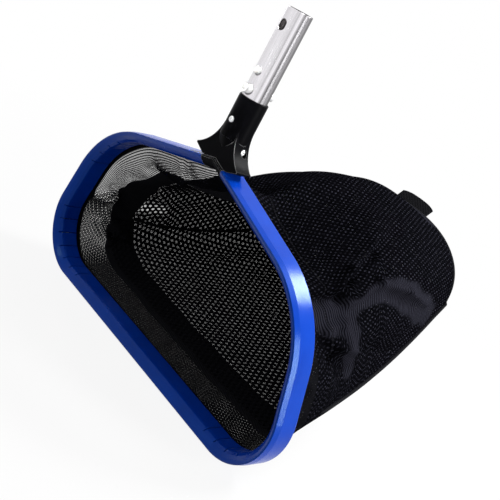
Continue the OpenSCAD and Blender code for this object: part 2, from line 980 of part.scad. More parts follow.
module inner_net_bottom() {
  color("black")
    bag_panel(false, net_in - cloth_t / 2, net_end_in);
}

// ---------------------------------------------------------------- edge binding and tab

// Middle line of the bound edge: back along the right seam, over the rear arch, and forward
function binding_line() =
  let (
    out = binding_d / 2 + cloth_t / 2 + soft_gap,
    side_steps = 10,
    start = depth_share(tape_end + soft_gap + binding_d / 2),
    behind = [0, binding_d / 2 + soft_gap, 0],
    side = [for (i = [0 : side_steps])
      bag_point(true, 0, blend(start, 1, i / side_steps), -out, 0, 1)
        + (i == side_steps ? 1 : 0) * behind],
    arch = [for (i = [0 : 2 * half_steps])
      bag_point(true, blend(2 * seam_t, 1, 1 - abs(i - half_steps) / half_steps), 1, stack_in, 0,
        i < half_steps ? 1 : -1)
        + behind],
    back = [for (i = [side_steps : -1 : 0])
      bag_point(true, 0, blend(start, 1, i / side_steps), -out, 0, -1)
        + (i == side_steps ? 1 : 0) * behind])
  concat(side, arch, back);

// A round cord along a line of points
module cord_along(line, diameter, sides) {
  count = len(line);
  rings = [for (i = [0 : count - 1])
    let (
      run = line[min(i + 1, count - 1)] - line[max(i - 1, 0)],
      ahead = run / norm(run),
      sideways = cross(ahead, [0, -0.6, 0.8]),
      across = sideways / norm(sideways),
      up = cross(across, ahead))
    for (k = [0 : sides - 1])
      line[i] + diameter / 2 * (cos(360 * k / sides) * across + sin(360 * k / sides) * up)];
  start_cap = [for (k = [1 : sides - 2]) [0, k + 1, k]];
  end_cap = [for (k = [1 : sides - 2]) (count - 1) * sides * [1, 1, 1] + [0, k, k + 1]];
  polyhedron(
    points = rings,
    faces = concat(grid_faces(count, sides, 0, true, false), start_cap, end_cap));
}

module edge_binding() {
  color("black")
    on_hoop()
      cord_along(binding_line(), binding_d, 8);
}

// Folded webbing sewn to the middle of the bound rear edge
module pull_tab() {
  color("black")
    on_hoop()
      translate([0, bag_depth + binding_d / 2 + soft_gap, rear_high - stack_in])
        rotate([tab_angle, 0, 0])
          translate([-tab_w / 2, binding_d / 2 + soft_gap, -tab_t / 2])
            cube([tab_w, tab_l, tab_t]);
}

rim();
hoop_core();
mouth_bead();
yoke();
handle_tube();
tube_bolt();
tube_nut();
side_screws();
clip_bend();
front_clip_arm();
rear_clip_arm();
cuff();
seam_tape();
top_panel();
bottom_panel();
inner_net_top();
inner_net_bottom();
edge_binding();
pull_tab();
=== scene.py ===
import bpy
import numpy as np
from mathutils import Matrix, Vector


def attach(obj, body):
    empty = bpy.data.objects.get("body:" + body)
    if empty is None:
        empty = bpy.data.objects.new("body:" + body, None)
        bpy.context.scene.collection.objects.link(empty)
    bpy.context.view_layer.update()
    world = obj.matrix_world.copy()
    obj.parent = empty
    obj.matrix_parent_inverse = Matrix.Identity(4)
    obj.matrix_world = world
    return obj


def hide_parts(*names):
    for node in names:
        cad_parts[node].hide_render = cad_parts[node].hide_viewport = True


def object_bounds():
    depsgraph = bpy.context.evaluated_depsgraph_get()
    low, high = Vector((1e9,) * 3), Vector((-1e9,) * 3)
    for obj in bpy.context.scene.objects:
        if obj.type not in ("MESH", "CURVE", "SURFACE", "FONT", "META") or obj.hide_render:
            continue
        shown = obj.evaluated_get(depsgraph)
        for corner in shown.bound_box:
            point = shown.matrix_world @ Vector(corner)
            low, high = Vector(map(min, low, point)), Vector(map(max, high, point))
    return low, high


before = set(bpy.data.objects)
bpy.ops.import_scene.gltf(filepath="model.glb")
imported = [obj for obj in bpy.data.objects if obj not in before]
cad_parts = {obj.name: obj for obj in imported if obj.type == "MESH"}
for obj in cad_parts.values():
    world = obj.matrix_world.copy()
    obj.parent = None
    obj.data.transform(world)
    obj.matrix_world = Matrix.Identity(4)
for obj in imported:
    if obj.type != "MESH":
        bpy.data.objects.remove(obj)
cad_low, cad_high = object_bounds()

# ---------------------------------------------------------------- camera
# The net is seen from its front right and a little above it, with the camera rolled so that
# the handle leans to the right.
camera_place = (0.6862, -0.6742, 0.0467)
camera_turn = 0.7181
camera_lift = 0.2819
camera_roll = 0.5041
camera_lens = 64.8


def camera_axes(turn, lift, roll):
    """Right, up and back of a camera turned about the upright, lifted, and rolled about its own view."""
    back = np.array([np.sin(turn) * np.cos(lift), -np.cos(turn) * np.cos(lift), np.sin(lift)])
    level = np.array([np.cos(turn), np.sin(turn), 0])
    above = np.cross(back, level)
    right = np.cos(roll) * level + np.sin(roll) * above
    return right, np.cross(back, right), back


camera = bpy.data.objects.new("camera", bpy.data.cameras.new("camera"))
camera.data.lens = camera_lens
camera.data.sensor_width = 36
camera.data.clip_start = 0.05
camera.data.clip_end = 50
bpy.context.scene.collection.objects.link(camera)
camera.matrix_world = Matrix.Translation(camera_place) @ Matrix(
    np.array(camera_axes(camera_turn, camera_lift, camera_roll)).T.tolist()).to_4x4()
bpy.context.scene.camera = camera

# ---------------------------------------------------------------- handle tube
# A short length of drawn aluminium tube, 30 mm across. It is cut off square, drilled for the
# pole's pin and for the clip's studs, and left bright, with the fine lines of the drawing die.


def finish_for(name, **sockets):
    """A material with its main shader, whose sockets take plain values by name."""
    made = bpy.data.materials.new(name)
    made.use_nodes = True
    shader = made.node_tree.nodes["Principled BSDF"]
    for socket, value in sockets.items():
        shader.inputs[socket.replace("_", " ")].default_value = value
    return made, made.node_tree, shader


def add(tree, kind, inputs, **settings):
    """A node's first output. Each input, by name or number, is a value or another node's output."""
    made = tree.nodes.new("ShaderNode" + kind)
    for key, value in settings.items():
        setattr(made, key, value)
    for key, value in inputs.items():
        if isinstance(value, bpy.types.NodeSocket):
            tree.links.new(value, made.inputs[key])
        else:
            made.inputs[key].default_value = value
    return made.outputs[0]


def calc(tree, operation, *inputs):
    """A Math node's result."""
    return add(tree, "Math", dict(enumerate(inputs)), operation=operation)


def spread(tree, value, low, high, to_low, to_high):
    """A value carried from one range to another and held between its ends."""
    return add(tree, "MapRange", {0: value, 1: low, 2: high, 3: to_low, 4: to_high})


def tint(tree, value, *stops):
    """A colour ramp through (place, colour) stops."""
    made = tree.nodes.new("ShaderNodeValToRGB")
    tree.links.new(value, made.inputs[0])
    ramp = made.color_ramp
    while len(ramp.elements) < len(stops):
        ramp.elements.new(0.5)
    for element, (place, colour) in zip(ramp.elements, stops):
        element.position = place
        element.color = (*colour, 1)
    return made.outputs[0]


def place_in(tree, scale=(1, 1, 1)):
    """Object coordinates, stretched along each axis."""
    at = tree.nodes.new("ShaderNodeTexCoord").outputs["Object"]
    return add(tree, "Mapping", {"Vector": at, "Scale": scale})


def grain(tree, at, scale, detail=3.0, rough=0.5):
    """Soft noise between 0 and 1."""
    return add(tree, "TexNoise", {"Vector": at, "Scale": scale, "Detail": detail, "Roughness": rough})


def relief(tree, height, distance, strength=1.0, **more):
    """A bump of a given depth in metres."""
    return add(tree, "Bump", {"Height": height, "Distance": distance, "Strength": strength, **more})


def dress(node, material):
    """Gives a solid of the frame its finish."""
    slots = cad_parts[node].data.materials
    slots.clear()
    slots.append(material)


drawn_aluminium, tree, shader = finish_for("drawn aluminium", Metallic=1.0)
lines = grain(tree, place_in(tree, (1, 1, 0.012)), 1400, 4, 0.6)
bands = grain(tree, place_in(tree, (1, 1, 0.004)), 170, 2, 0.5)
clouds = grain(tree, place_in(tree), 60, 4)
split = tree.nodes.new("ShaderNodeSeparateXYZ")
tree.links.new(place_in(tree), split.inputs[0])
turn = spread(tree, calc(tree, "ARCTAN2", split.outputs[1], split.outputs[0]), -np.pi, np.pi, 0, 1)
turn = calc(tree, "ADD", turn, spread(tree, bands, 0.3, 0.7, -0.012, 0.012))
# Painted reflection and shade round the tube, as (share of a full turn, brightness).
painted_reflection_tones = (
    (0.0, 0.66), (0.13, 0.6), (0.17, 0.78), (0.24, 0.86), (0.34, 0.88), (0.372, 0.72), (0.38, 0.55),
    (0.392, 0.88), (0.405, 0.98), (0.418, 0.98), (0.43, 0.6), (0.44, 0.28), (0.453, 0.1), (0.48, 0.11),
    (0.495, 0.2), (0.511, 0.38), (0.53, 0.32), (0.552, 0.2), (0.59, 0.07), (0.64, 0.12), (0.7, 0.55),
    (0.85, 0.75), (1.0, 0.66))
# Colour round the tube, carrying the painted reflection and shade bands.
painted_reflection = tint(tree, turn, *((share, (0.98 * tone, 0.96 * tone, tone)) for share, tone in painted_reflection_tones))
streaks = spread(tree, lines, 0.3, 0.7, 0.0, 0.3)
streaked = add(tree, "MixRGB", {0: streaks, 1: painted_reflection, 2: (0.25, 0.22, 0.22, 1)}, blend_type="MULTIPLY")
# The inside of the tube is painted dark brown: painted shade.
squares = [calc(tree, "POWER", split.outputs[axis], 2.0) for axis in (0, 1)]
skin_from, skin_to = 0.0142, 0.0146
painted_bore_shade = spread(tree, calc(tree, "SQRT", calc(tree, "ADD", *squares)), skin_to, skin_from, 0, 0.85)
metal = add(tree, "MixRGB", {0: painted_bore_shade, 1: streaked, 2: (0.05, 0.04, 0.04, 1)})
polish = calc(tree, "ADD", spread(tree, lines, 0.3, 0.7, 0.2, 0.34),
              spread(tree, clouds, 0.3, 0.7, -0.03, 0.05))
tree.links.new(metal, shader.inputs["Base Color"])
tree.links.new(polish, shader.inputs["Roughness"])
tree.links.new(relief(tree, lines, 0.00004), shader.inputs["Normal"])
dress("handle_tube", drawn_aluminium)

# ---------------------------------------------------------------- spring clip
# A strip of white acetal folded over inside the tube. Its two arms carry the lock pins and
# the thumb buttons, which stand out through the tube's walls.
white_acetal, tree, shader = finish_for("white acetal", Specular_IOR_Level=0.5)
skin = grain(tree, place_in(tree), 900, 3)
dust = grain(tree, place_in(tree), 90, 5)
white = tint(tree, dust, (0.3, (0.86, 0.85, 0.83)), (0.7, (0.95, 0.95, 0.94)))
tree.links.new(white, shader.inputs["Base Color"])
tree.links.new(spread(tree, dust, 0.3, 0.7, 0.24, 0.38), shader.inputs["Roughness"])
tree.links.new(relief(tree, skin, 0.00002), shader.inputs["Normal"])
for node in ("clip_bend", "front_clip_arm", "rear_clip_arm"):
    dress(node, white_acetal)

# ---------------------------------------------------------------- yoke
# One moulding of black glass-filled nylon: a socket for the tube that flares into two wings
# over the hoop. Its skin is satin, with the mould's fine grain, and its sharp edges on the saddle
# are painted near white as a highlight.


def rounded(tree, radius, normal=None):
    """A normal that rounds sharp edges off by a radius in metres."""
    return add(tree, "Bevel", {"Radius": radius} | ({"Normal": normal} if normal else {}), samples=6)


def edge_share(tree, radius):
    """1 on a sharp edge, falling to 0 at a radius from it: how far the rounded normal leaves the face."""
    flat = tree.nodes.new("ShaderNodeNewGeometry").outputs["True Normal"]
    dot = tree.nodes.new("ShaderNodeVectorMath")
    dot.operation = "DOT_PRODUCT"
    tree.links.new(rounded(tree, radius), dot.inputs[0])
    tree.links.new(flat, dot.inputs[1])
    return spread(tree, dot.outputs["Value"], 1.0, 0.86, 0.0, 1.0)


black_nylon, tree, shader = finish_for("black nylon", Specular_IOR_Level=0.018)
at = place_in(tree)
pebble = grain(tree, at, 1500, 3, 0.6)
flow = grain(tree, at, 45, 5, 0.6)
edge_wear_and_highlight = calc(tree, "MULTIPLY", edge_share(tree, 0.0012), spread(tree, flow, 0.35, 0.65, 0.5, 1.0))
height = tree.nodes.new("ShaderNodeSeparateXYZ")
tree.links.new(at, height.inputs[0])
socket_end, saddle_top = -0.118, -0.13
edge_wear_and_highlight = calc(tree, "MULTIPLY", edge_wear_and_highlight, spread(tree, height.outputs[2], socket_end, saddle_top, 0.15, 1.0))
# The ramp's top stop paints sharp edges near white, most of all low on the saddle: a painted highlight. The
# lower stops only vary the black.
black = tint(tree, edge_wear_and_highlight, (0.0, (0.0022, 0.0022, 0.003)), (0.4, (0.012, 0.012, 0.014)),
             (1.0, (0.85, 0.85, 0.86)))
tree.links.new(black, shader.inputs["Base Color"])
tree.links.new(spread(tree, flow, 0.3, 0.7, 0.3, 0.42), shader.inputs["Roughness"])
tree.links.new(relief(tree, pebble, 0.00005, Normal=rounded(tree, 0.0009)), shader.inputs["Normal"])
dress("yoke", black_nylon)

# ---------------------------------------------------------------- fasteners
# Bright stainless screws with pan heads: one bolt and nut through socket and tube, and two
# side screws through the turned-up ends of the hoop's bar.
stainless, tree, shader = finish_for("stainless steel", Metallic=1.0)
turned = grain(tree, place_in(tree), 700, 4)
bright = tint(tree, turned, (0.3, (0.7, 0.7, 0.71)), (0.7, (0.92, 0.92, 0.92)))
tree.links.new(bright, shader.inputs["Base Color"])
tree.links.new(spread(tree, turned, 0.3, 0.7, 0.22, 0.36), shader.inputs["Roughness"])
tree.links.new(relief(tree, turned, 0.00003, Normal=rounded(tree, 0.0003)), shader.inputs["Normal"])
for node in ("tube_bolt", "tube_nut", "side_screws"):
    dress(node, stainless)

# ---------------------------------------------------------------- rim
# A royal blue channel of moulded polypropylene, pushed on to the flat bar. Its slim front edge
# runs to a long bevel, and relief slits let it bend round the corners.
royal_blue, tree, shader = finish_for("royal blue plastic", Specular_IOR_Level=0.22,
                                      Specular_Tint=(0.35, 0.72, 1.0, 1))
at = place_in(tree)
skin = grain(tree, at, 1100, 3, 0.55)
flow = grain(tree, place_in(tree, (1, 1, 0.4)), 22, 5, 0.6)
edge_wear_and_highlight = calc(tree, "MULTIPLY", edge_share(tree, 0.0014), spread(tree, flow, 0.35, 0.65, 0.1, 0.9))
body_blue = tint(tree, flow, (0.3, (0.001, 0.05, 0.5)), (0.7, (0.002, 0.066, 0.6)))
worn_blue = {0: calc(tree, "MULTIPLY", edge_wear_and_highlight, 0.35), 1: body_blue, 2: (0.02, 0.16, 0.8, 1)}
tree.links.new(add(tree, "MixRGB", worn_blue), shader.inputs["Base Color"])
tree.links.new(spread(tree, flow, 0.3, 0.7, 0.18, 0.28), shader.inputs["Roughness"])
tree.links.new(relief(tree, skin, 0.00003, Normal=rounded(tree, 0.0012)), shader.inputs["Normal"])
dress("rim", royal_blue)

# ---------------------------------------------------------------- flat bar
# The hoop's core: a 14 mm strip of mill-finished aluminium, bent to the hoop's shape, with
# both ends turned up into the yoke.
mill_aluminium, tree, shader = finish_for("mill aluminium", Metallic=1.0)
rolled = grain(tree, place_in(tree, (1, 0.05, 1)), 500, 4, 0.6)
mill = tint(tree, rolled, (0.3, (0.45, 0.45, 0.46)), (0.7, (0.66, 0.66, 0.67)))
tree.links.new(mill, shader.inputs["Base Color"])
tree.links.new(spread(tree, rolled, 0.3, 0.7, 0.35, 0.55), shader.inputs["Roughness"])
tree.links.new(relief(tree, rolled, 0.00004), shader.inputs["Normal"])
dress("hoop_core", mill_aluminium)

# ---------------------------------------------------------------- hem bead
# A cord of black vinyl in the bag's hem. It lies in the rim's open channel all the way round
# and holds the mouth of the bag to the hoop.
hoop_drop = 0.155
hoop_tilt = np.radians(5)
hoop_high = 0.26
hoop_half = 0.2395
rim_deep = 0.03
base_round = 0.068
shoulder_round = 0.123
side_lean = 15
roof_slope = 15.7
bead_in = 0.008
bead_deep = 0.024
bead_round = 0.0022


def in_place(x, y, z):
    """Hoop coordinates turned back by the hoop's tilt about its apex and hung below the origin."""
    y, z = np.asarray(y) - rim_deep / 2, np.asarray(z) - hoop_high
    return np.stack(np.broadcast_arrays(
        x, y * np.cos(hoop_tilt) - z * np.sin(hoop_tilt),
        y * np.sin(hoop_tilt) + z * np.cos(hoop_tilt) - hoop_drop), -1)


def half_outline(inset, steps=3000):
    """Right half of the hoop, moved inwards: distance, x, z, outward angle.

    Straight runs keep one outward angle and the two corners turn it evenly. A point is the
    running sum of the direction, which is the outward angle turned by a quarter.
    """
    lean, slope = np.radians([side_lean, roof_slope])
    base_x = hoop_half - base_round
    side = np.cos(lean) * base_x + np.sin(lean) * base_round + base_round - shoulder_round
    roof = np.cos(slope) * hoop_high - shoulder_round
    shoulder_x = (side * np.cos(slope) - roof * np.sin(lean)) / np.cos(lean + slope)
    shoulder_z = (roof * np.cos(lean) - side * np.sin(slope)) / np.cos(lean + slope)
    runs = [base_x,
            (base_round - inset) * (np.pi / 2 + lean),
            (base_x - shoulder_x) * np.sin(lean) + (shoulder_z - base_round) * np.cos(lean),
            (shoulder_round - inset) * (np.pi / 2 - slope - lean),
            (shoulder_x + shoulder_round * np.sin(slope)) / np.cos(slope) - inset * np.tan(slope)]
    ends = np.concatenate([[0], np.cumsum(runs)])
    along = np.linspace(0, ends[-1], steps)
    middle = (along[1:] + along[:-1]) / 2
    facing = [-np.pi / 2, -np.pi / 2, lean, lean, np.pi / 2 - slope, np.pi / 2 - slope]
    angle = np.interp(middle, ends, facing)
    step = along[1] - along[0]
    x = np.concatenate([[0], np.cumsum(-np.sin(angle) * step)])
    z = inset + np.concatenate([[0], np.cumsum(np.cos(angle) * step)])
    return along, x, z, np.interp(along, ends, facing)


def grid_faces(rows, columns, around=False):
    """Corner numbers of the quads between the points of a grid, row by row; around closes the rows."""
    r, c = np.meshgrid(np.arange(rows - 1), np.arange(columns if around else columns - 1), indexing="ij")
    a, b = r * columns + c, r * columns + (c + 1) % columns
    return np.stack([a, b, b + columns, a + columns], -1).reshape(-1, 4)


def piece(name, points, faces, material, flat=None):
    """A smooth mesh object from points and faces; flat gives each point's place on the cut cloth."""
    mesh = bpy.data.meshes.new(name)
    mesh.from_pydata(np.asarray(points, float).reshape(-1, 3).tolist(), [], np.asarray(faces).tolist())
    mesh.polygons.foreach_set("use_smooth", np.ones(len(mesh.polygons), bool))
    if flat is not None:
        corners = np.zeros(len(mesh.loops), np.int32)
        mesh.loops.foreach_get("vertex_index", corners)
        mesh.uv_layers.new(name="cloth").data.foreach_set(
            "uv", np.asarray(flat, np.float32).reshape(-1, 2)[corners].ravel())
    mesh.materials.append(material)
    made = bpy.data.objects.new(name, mesh)
    bpy.context.scene.collection.objects.link(made)
    return made


def tube_round(x, y, z, side_x, side_y, side_z, radius, sides):
    """Rings round a line: each point plus the radius along a turning mix of outwards and +Y."""
    turn = np.linspace(0, 2 * np.pi, sides, endpoint=False)
    return (x[:, None] + radius * np.cos(turn) * side_x[:, None],
            y + radius * np.sin(turn)[None, :] + 0 * x[:, None],
            z[:, None] + radius * np.cos(turn) * side_z[:, None])


vinyl, tree, shader = finish_for("black vinyl", Specular_IOR_Level=0.5)
wrap = add(tree, "TexWave", {"Vector": place_in(tree), "Scale": 260.0, "Distortion": 2.0, "Detail": 2.0})
cord_black = tint(tree, wrap, (0.2, (0.01, 0.01, 0.012)), (0.8, (0.022, 0.022, 0.026)))
tree.links.new(cord_black, shader.inputs["Base Color"])
tree.links.new(spread(tree, wrap, 0, 1, 0.4, 0.6), shader.inputs["Roughness"])
tree.links.new(relief(tree, wrap, 0.0001), shader.inputs["Normal"])

along, edge_x, edge_z, edge_angle = half_outline(bead_in)
pick = np.linspace(0, len(along) - 1, 260).astype(int)
half_x, half_z, half_a = edge_x[pick], edge_z[pick], edge_angle[pick]
loop_x = np.concatenate([half_x, -half_x[-2:0:-1]])
loop_z = np.concatenate([half_z, half_z[-2:0:-1]])
out_x = np.concatenate([np.cos(half_a), -np.cos(half_a[-2:0:-1])])
out_z = np.concatenate([np.sin(half_a), np.sin(half_a[-2:0:-1])])
bead_sides = 12
rings = tube_round(loop_x, bead_deep, loop_z, out_x, 0, out_z, bead_round, bead_sides)
faces = grid_faces(len(loop_x) + 1, bead_sides, True) % (len(loop_x) * bead_sides)
hem_bead = piece("hem_bead", in_place(*rings), faces, vinyl)
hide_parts("mouth_bead")
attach(hem_bead, "net")

# ---------------------------------------------------------------- the bag's form
# All cloth follows one surface. It hangs from the hoop, arches over its ridge, is gathered in
# by a seam along each side, and closes along a rounded edge at the rear.
bag_start = bead_deep
bag_end = 0.37
seam_high = 0.068
rear_half = 0.122
rear_low = 0.16
rear_high = 0.242
ridge_rise = 0.024
floor_rise = 0.1
rear_power = 2.4
slack_from = 0.034
slack_worst = 0.085
slack = 0.043
ridge_keeps = 0.5
mouth_top = hoop_high - bead_in / np.cos(np.radians(roof_slope))
seam_from = np.interp(seam_high, edge_z, along)


def mix(a, b, share):
    """A value between two others."""
    return a + (b - a) * share


def sag(y, t):
    """How far the slack roof hangs down: it drops quickly behind the rim and recovers slowly.

    Over the depth it is q e^(1 - q) to a power, with q 1 where it hangs lowest. From seam to
    ridge it grows round the shoulder, stays level and shrinks again beside the ridge.
    """
    q = ((y - slack_from) / (slack_worst - slack_from)).clip(0)
    corner = ((t - 0.1) / 0.32).clip(0, 1)
    over = corner ** 2 * (3 - 2 * corner) * (1 - ridge_keeps * np.exp(-((1 - t) / 0.075) ** 2))
    return slack * over * (q * np.exp(1 - q)) ** 0.9


# Folds of the slack cloth as lines on the bag: from around, depth to around, depth, then
# half width and height in metres.
cloth_round = 0.29
folds = (
    (0.53, 0.17, 0.48, 0.30, 0.006, -0.006), (0.48, 0.30, 0.52, 0.36, 0.006, -0.006),
    (0.52, 0.36, 0.58, 0.51, 0.006, -0.005), (0.58, 0.51, 0.66, 0.66, 0.008, -0.003),
    (0.575, 0.17, 0.53, 0.29, 0.007, 0.006), (0.53, 0.29, 0.57, 0.36, 0.007, 0.006),
    (0.57, 0.36, 0.63, 0.50, 0.008, 0.005),
    (0.62, 0.16, 0.58, 0.30, 0.022, 0.007), (0.60, 0.36, 0.68, 0.54, 0.020, 0.006),
    (0.445, 0.335, 0.45, 0.49, 0.006, 0.006), (0.45, 0.49, 0.34, 0.66, 0.006, 0.006),
    (0.34, 0.66, 0.19, 0.82, 0.006, 0.005), (0.40, 0.22, 0.385, 0.30, 0.006, 0.005),
    (0.385, 0.30, 0.26, 0.32, 0.006, 0.004), (0.36, 0.54, 0.24, 0.70, 0.012, -0.004),
    (0.34, 0.19, 0.22, 0.22, 0.013, -0.006), (0.22, 0.22, 0.11, 0.31, 0.012, -0.006),
    (0.38, 0.22, 0.27, 0.27, 0.007, 0.005), (0.27, 0.27, 0.18, 0.38, 0.007, 0.004),
    (0.06, 0.62, 0.06, 0.95, 0.007, -0.005), (0.16, 0.42, 0.08, 0.58, 0.012, -0.005),
    (0.86, 0.30, 0.70, 0.80, 0.016, 0.003), (0.84, 0.62, 0.66, 0.92, 0.014, -0.003),
    (1.46, 0.07, 1.34, 0.11, 0.006, -0.010), (1.53, 0.10, 1.42, 0.16, 0.008, 0.005),
    (1.25, 0.05, 1.20, 0.09, 0.006, -0.007), (1.30, 0.05, 1.27, 0.10, 0.005, -0.004),
    (1.02, 0.24, 1.36, 0.25, 0.024, -0.014), (1.925, 0.04, 1.91, 0.12, 0.006, -0.012),
    (1.95, 0.08, 2.12, 0.20, 0.009, -0.009), (1.87, 0.11, 1.99, 0.24, 0.008, 0.007),
    (2.04, 0.09, 2.17, 0.14, 0.006, -0.006), (1.80, 0.24, 1.96, 0.34, 0.010, -0.007),
    (1.40, 0.40, 1.62, 0.80, 0.016, -0.005), (1.52, 0.38, 1.76, 0.70, 0.014, 0.005),
    (1.86, 0.30, 1.84, 0.66, 0.012, -0.004), (-0.22, 0.24, -0.30, 0.62, 0.016, -0.005),
    (1.62, 0.42, 1.26, 0.68, 0.045, -0.008), (-0.50, 0.30, -0.46, 0.74, 0.018, 0.004),
    (2.30, 0.28, 2.42, 0.70, 0.016, -0.005))


def bells(around, depth, lines):
    """Sum of soft bells across lines on the bag: height e^(-(distance / half width)^2)."""
    u = np.where(around > 3, around - 4, around) * cloth_round
    v = depth * (bag_end - bag_start)
    total = 0
    for from_u, from_v, to_u, to_v, wide, high in lines:
        from_u, to_u = from_u * cloth_round, to_u * cloth_round
        from_v, to_v = from_v * (bag_end - bag_start), to_v * (bag_end - bag_start)
        step_u, step_v = to_u - from_u, to_v - from_v
        share = ((u - from_u) * step_u + (v - from_v) * step_v) / (step_u ** 2 + step_v ** 2)
        share = share.clip(0, 1)
        gap = (u - from_u - share * step_u) ** 2 + (v - from_v - share * step_v) ** 2
        total = total + high * np.exp(-gap / wide ** 2)
    return total


def bag(around, depth, inset=0.0):
    """Point of the bag: around 0 is the right seam, 1 the ridge, 2 the left seam, 3 the floor.

    Depth runs from 0 at the hoop to 1 at the rear edge. Width goes evenly from the hoop's
    outline to a rounded arch, and height from seam to ridge or floor by the same share.
    """
    around, depth = np.broadcast_arrays(np.asarray(around, float) % 4, np.asarray(depth, float))
    upper = around < 2
    right = (around <= 1) | (around >= 3)
    t = 1 - abs(around % 2 - 1)
    s = mix(seam_from, np.where(upper, along[-1], 0.0), t)
    mouth_x, mouth_z = np.interp(s, along, edge_x), np.interp(s, along, edge_z)
    mouth_mid = np.where(upper, mouth_top, bead_in)
    turn = np.pi / 2 * t
    share = mix((mouth_z - seam_high) / (mouth_mid - seam_high), np.sin(turn) ** (2 / rear_power), depth)
    x = mix(mouth_x, rear_half * np.cos(turn).clip(0) ** (2 / rear_power), depth)
    width = mix(np.interp(seam_from, along, edge_x), rear_half, depth)
    seam_z = mix(seam_high, rear_low, depth ** 3)
    ridge_z = mix(mouth_top, rear_high, depth) + ridge_rise * np.sin(np.pi * depth.clip(0, 1) ** 1.5)
    floor_z = bead_in + floor_rise * depth ** 1.4 + (rear_high - bead_in - floor_rise) * depth ** 20
    z = seam_z + (np.where(upper, ridge_z, floor_z) - seam_z) * share + np.where(upper, -inset, inset) * share
    x = np.where(right, 1, -1) * x * (width - inset) / width
    y = mix(bag_start, bag_end, depth)
    ripple = 0.0012 * np.sin(np.pi * around * 6) * np.sin(9 * depth + 5 * around)
    fold = (bells(around, depth, folds) + ripple) * (depth / 0.1).clip(0, 1) * (1 - depth.clip(0, 1) ** 8)
    middle = z - mix(seam_high, 0.2, depth)
    away = np.hypot(x, middle) + 1e-9
    drop = np.where(upper, sag(y, t) * (1 - depth.clip(0, 1) ** 5), 0)
    return x + fold * x / away, y, z + fold * middle / away - drop


def depth_at(y):
    """Share of the bag's depth at a distance behind the front of the rim."""
    return (y - bag_start) / (bag_end - bag_start)


# ---------------------------------------------------------------- cuff
# The bag's first 46 mm, a band of fine black polyester mesh that shows the light through. Its
# front is folded into a solid hem over the bead, and it is doubled below and where it creases.
cuff_end = 0.07
tape_end = 0.105
hem_end = 0.036
cuff_pitch = 0.0019
cuff_thread = 0.36
cuff_thick = 0.0006
stitch_long = 0.0032


